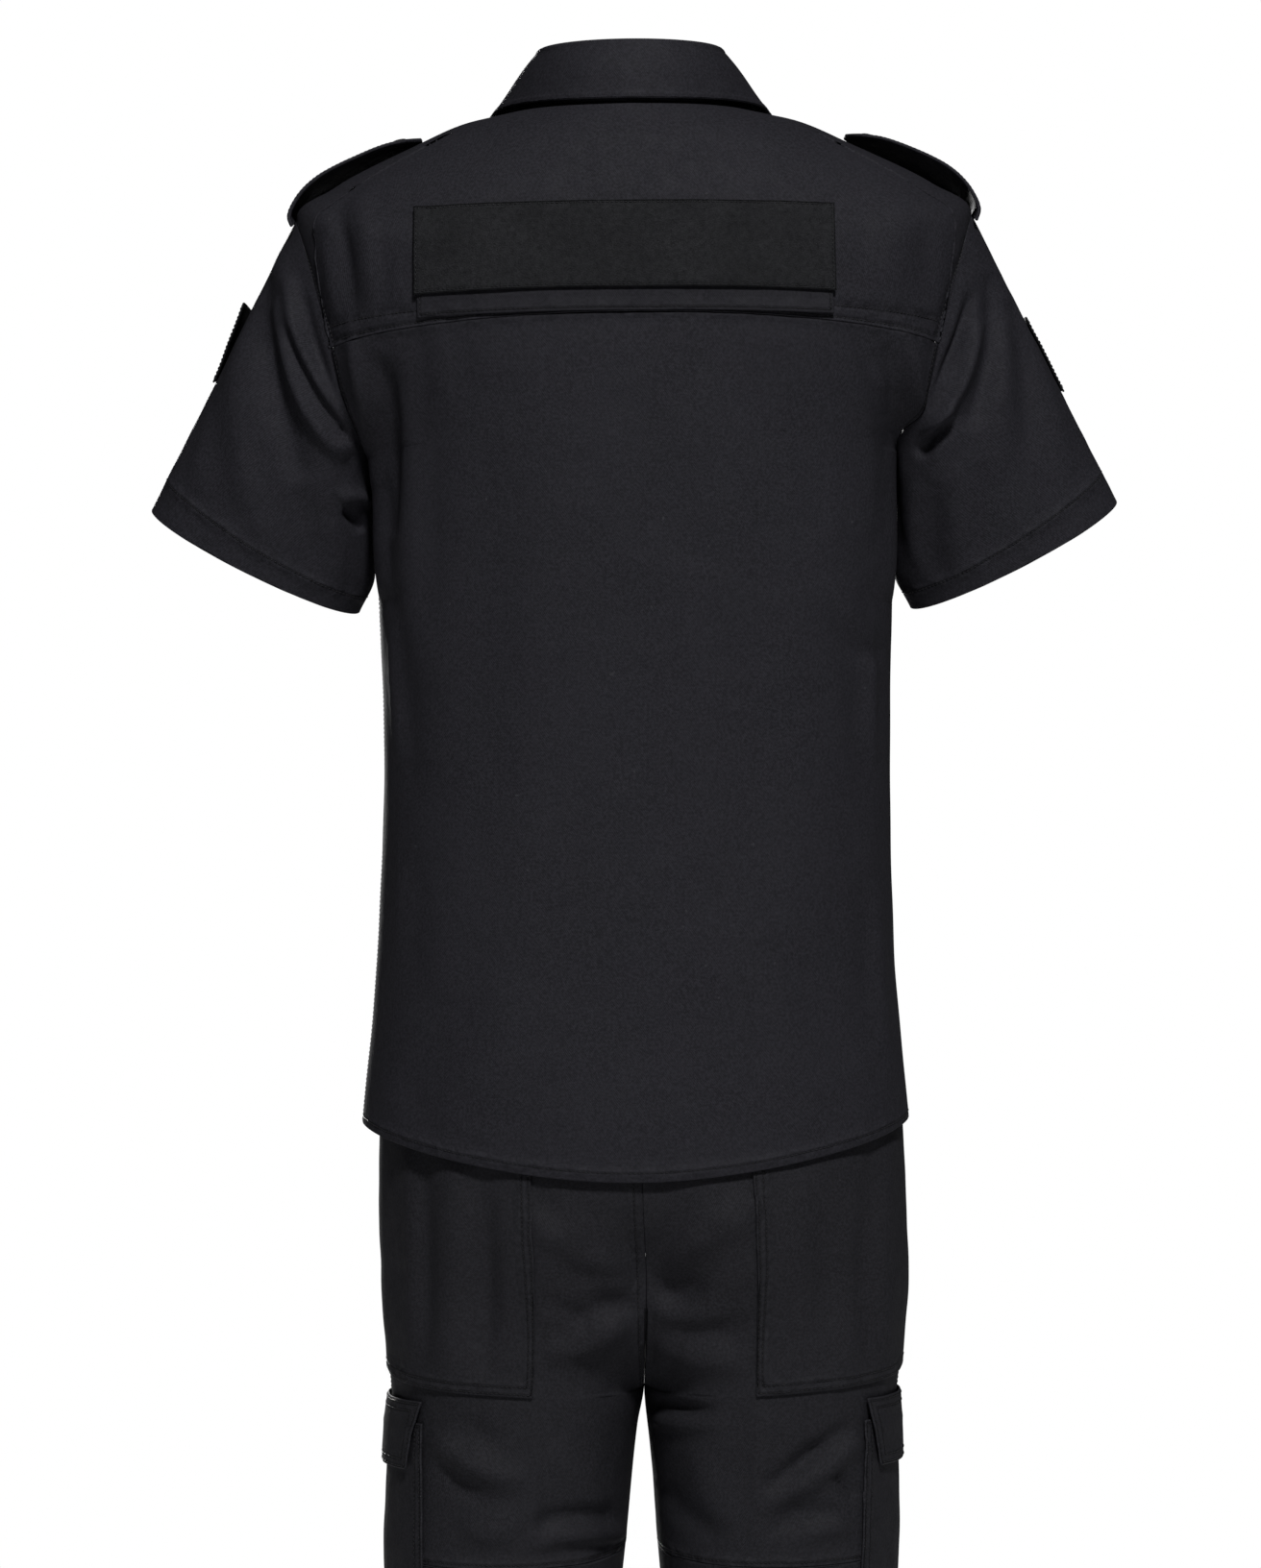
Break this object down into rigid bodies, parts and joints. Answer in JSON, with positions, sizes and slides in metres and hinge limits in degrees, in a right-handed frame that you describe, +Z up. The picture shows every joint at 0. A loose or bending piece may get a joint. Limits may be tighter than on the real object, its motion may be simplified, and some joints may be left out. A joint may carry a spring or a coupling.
{
  "type": "security guard uniform",
  "caption": "Dark short-sleeved uniform shirt over cargo trousers, in worn shape with no wearer: collar, shoulder straps, yoke with a blank loop panel, patch, hip and thigh pockets",
  "frame": {"origin": "the base of the wearer's neck: midway between the shoulders, level with the collar seam at its sides", "axes": "the wearer faces -Y, +X is the wearer's left and +Z is up"},
  "size_m": [0.6554, 0.2564, 1.5847],
  "materials": {
    "shirt_twill": "matt near-black cotton and polyester twill, with a faint cool cast",
    "trouser_twill": "matt near-black heavier twill",
    "loop_pile": "fuzzy black loop pile of a hook-and-loop panel",
    "button": "satin black"
  },
  "bodies": {
    "root": {"shirt_yoke": "shirt_twill", "shirt_back": "shirt_twill", "shirt_front_left": "shirt_twill", "shirt_front_right": "shirt_twill", "shirt_placket": "shirt_twill", "collar_stand": "shirt_twill", "collar_leaf": "shirt_twill", "sleeve_left": "shirt_twill", "sleeve_right": "shirt_twill", "shoulder_strap_left": "shirt_twill", "shoulder_strap_right": "shirt_twill", "sleeve_patch_left": "shirt_twill", "sleeve_patch_right": "shirt_twill", "back_panel_base": "shirt_twill", "back_loop_panel": "loop_pile", "trouser_back_left": "trouser_twill", "trouser_back_right": "trouser_twill", "trouser_calf_left": "trouser_twill", "trouser_calf_right": "trouser_twill", "trouser_front_left": "trouser_twill", "trouser_front_right": "trouser_twill", "waistband": "trouser_twill", "fly": "trouser_twill", "seat_pocket_left": "trouser_twill", "seat_pocket_right": "trouser_twill", "cargo_pocket_left": "trouser_twill", "cargo_pocket_right": "trouser_twill", "cargo_flap_left": "trouser_twill", "cargo_flap_right": "trouser_twill", "front_button_1": "button", "front_button_2": "button", "front_button_3": "button", "front_button_4": "button", "front_button_5": "button", "front_button_6": "button", "strap_button_left": "button", "strap_button_right": "button", "waist_button": "button"}
  },
  "joints": []
}
